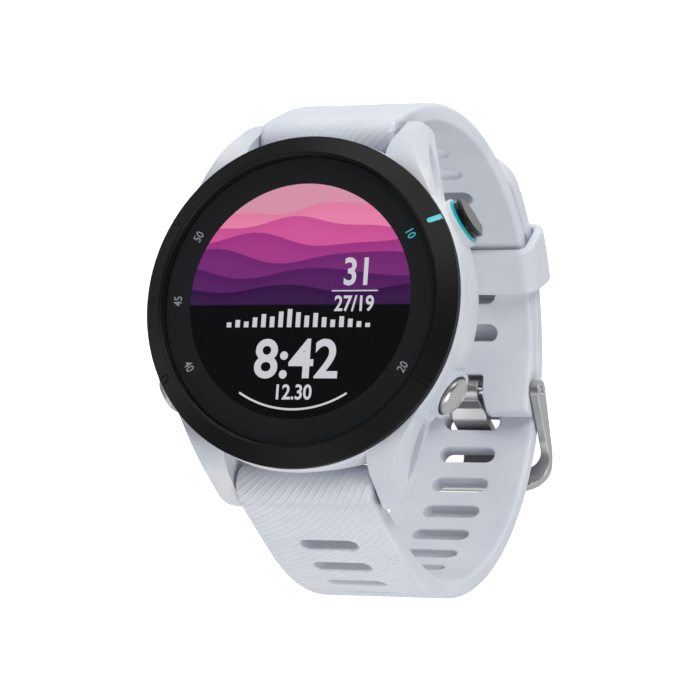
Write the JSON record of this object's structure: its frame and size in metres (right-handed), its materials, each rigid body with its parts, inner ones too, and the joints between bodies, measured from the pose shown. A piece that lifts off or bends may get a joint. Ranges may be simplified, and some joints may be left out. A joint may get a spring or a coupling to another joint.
{
  "type": "gps running watch",
  "caption": "Round sports watch with a lensed display, guarded side buttons and an optical sensor back, on a slotted silicone band with a keeper loop and a pin buckle",
  "frame": {"origin": "centre of the optical sensor window's outer face, which rests on the wrist", "axes": "+Z out of the display, +Y towards 12 o'clock, +X towards 3 o'clock"},
  "size_m": [0.042, 0.0615, 0.0676],
  "materials": {
    "case_resin": "pale cool white fibre-reinforced resin, satin",
    "bezel_resin": "charcoal resin, fine matt grain",
    "accent_resin": "turquoise resin",
    "cover_glass": "clear glass with a black printed border",
    "bond_film": "black adhesive film",
    "display": "lit colour display",
    "carrier_resin": "black resin",
    "gilt": "gold-plated contact metal",
    "board": "solder-masked board",
    "chip": "moulded chip packages",
    "cell_foil": "foil pouch",
    "motor_can": "drawn steel can",
    "tungsten": "sintered heavy alloy",
    "back_resin": "pale resin, satin",
    "seal_rubber": "black nitrile",
    "steel_small": "stainless steel",
    "sensor_glass": "smoked window",
    "led": "clear encapsulated emitters and detectors",
    "flex": "amber flexible circuit",
    "key_black": "black glossy cap",
    "key_steel": "polished rim, brushed face",
    "strap_silicone": "pale cool white silicone, fine matt ribs",
    "buckle_steel": "polished stainless steel"
  },
  "bodies": {
    "watch_case": {"case_body": "case_resin", "bezel": "bezel_resin", "start_mark": "accent_resin", "lens": "cover_glass", "lens_bond": "bond_film", "display_panel": "display", "display_carrier": "carrier_resin", "gps_antenna": "gilt", "main_board": "board", "board_chips": "chip", "battery": "cell_foil", "vibration_motor": "motor_can", "beeper": "gilt", "case_back": "back_resin", "back_seal": "seal_rubber", "back_screws": "steel_small", "sensor_window": "sensor_glass", "sensor_board": "board", "sensor_leds": "led", "charging_contacts": "gilt", "button_bushes": "steel_small", "tactile_switches": "steel_small", "switch_flex": "flex", "start_ring": "accent_resin"},
    "motor_weight": {"motor_weight": "tungsten"},
    "start_key": {"start_button": "key_black", "start_seal": "seal_rubber", "start_clip": "steel_small"},
    "back_key": {"back_button": "key_steel", "back_button_seal": "seal_rubber", "back_button_clip": "steel_small"},
    "light_key": {"light_button": "key_steel", "light_seal": "seal_rubber", "light_clip": "steel_small"},
    "up_key": {"up_button": "key_steel", "up_seal": "seal_rubber", "up_clip": "steel_small"},
    "down_key": {"down_button": "key_steel", "down_seal": "seal_rubber", "down_clip": "steel_small"},
    "band": {"short_strap": "strap_silicone", "long_strap": "strap_silicone", "buckle_pin": "steel_small", "upper_bar_tube": "steel_small", "upper_bar_fixed_tip": "steel_small", "upper_bar_spring": "steel_small", "lower_bar_tube": "steel_small", "lower_bar_tips": "steel_small", "lower_bar_spring": "steel_small"},
    "release_tip": {"upper_bar_release_tip": "steel_small"},
    "keeper": {"keeper_loop": "strap_silicone"},
    "buckle": {"buckle_frame": "buckle_steel"},
    "tongue": {"buckle_tongue": "buckle_steel"}
  },
  "joints": [
    {"name": "start_press", "type": "slide", "parent": "watch_case", "child": "start_key", "axis": [-0.866, -0.5, 0], "range_m": [0, 0.0004], "stiffness_N_per_m": 1500},
    {"name": "back_press", "type": "slide", "parent": "watch_case", "child": "back_key", "axis": [-0.866, 0.5, 0], "range_m": [0, 0.0004], "stiffness_N_per_m": 1500},
    {"name": "light_press", "type": "slide", "parent": "watch_case", "child": "light_key", "axis": [0.866, -0.5, 0], "range_m": [0, 0.0004], "stiffness_N_per_m": 1500},
    {"name": "up_press", "type": "slide", "parent": "watch_case", "child": "up_key", "axis": [1, 0, 0], "range_m": [0, 0.0004], "stiffness_N_per_m": 1500},
    {"name": "down_press", "type": "slide", "parent": "watch_case", "child": "down_key", "axis": [0.866, 0.5, 0], "range_m": [0, 0.0004], "stiffness_N_per_m": 1500},
    {"name": "motor_spin", "type": "hinge", "parent": "watch_case", "child": "motor_weight", "pos_m": [0.0047, 0.0116, 0.00515], "axis": [1, 0, 0], "continuous": true},
    {"name": "band_swing", "type": "hinge", "parent": "watch_case", "child": "band", "pos_m": [0, 0.0213, 0.0039], "axis": [1, 0, 0], "range_deg": [0, 65]},
    {"name": "bar_release", "type": "slide", "parent": "band", "child": "release_tip", "axis": [1, 0, 0], "range_m": [0, 0.0012], "stiffness_N_per_m": 300, "deforming": ["upper_bar_spring"]},
    {"name": "keeper_slide", "type": "hinge", "parent": "band", "child": "keeper", "pos_m": [0, 0, -0.0225], "axis": [1, 0, 0], "range_deg": [-14, 12]},
    {"name": "buckle_lift", "type": "hinge", "parent": "band", "child": "buckle", "pos_m": [0, -0.00101, -0.04868], "axis": [1, 0, 0], "range_deg": [0, 6]},
    {"name": "tongue_lift", "type": "hinge", "parent": "buckle", "child": "tongue", "pos_m": [0, -0.00101, -0.04868], "axis": [1, 0, 0], "range_deg": [0, 2]}
  ]
}
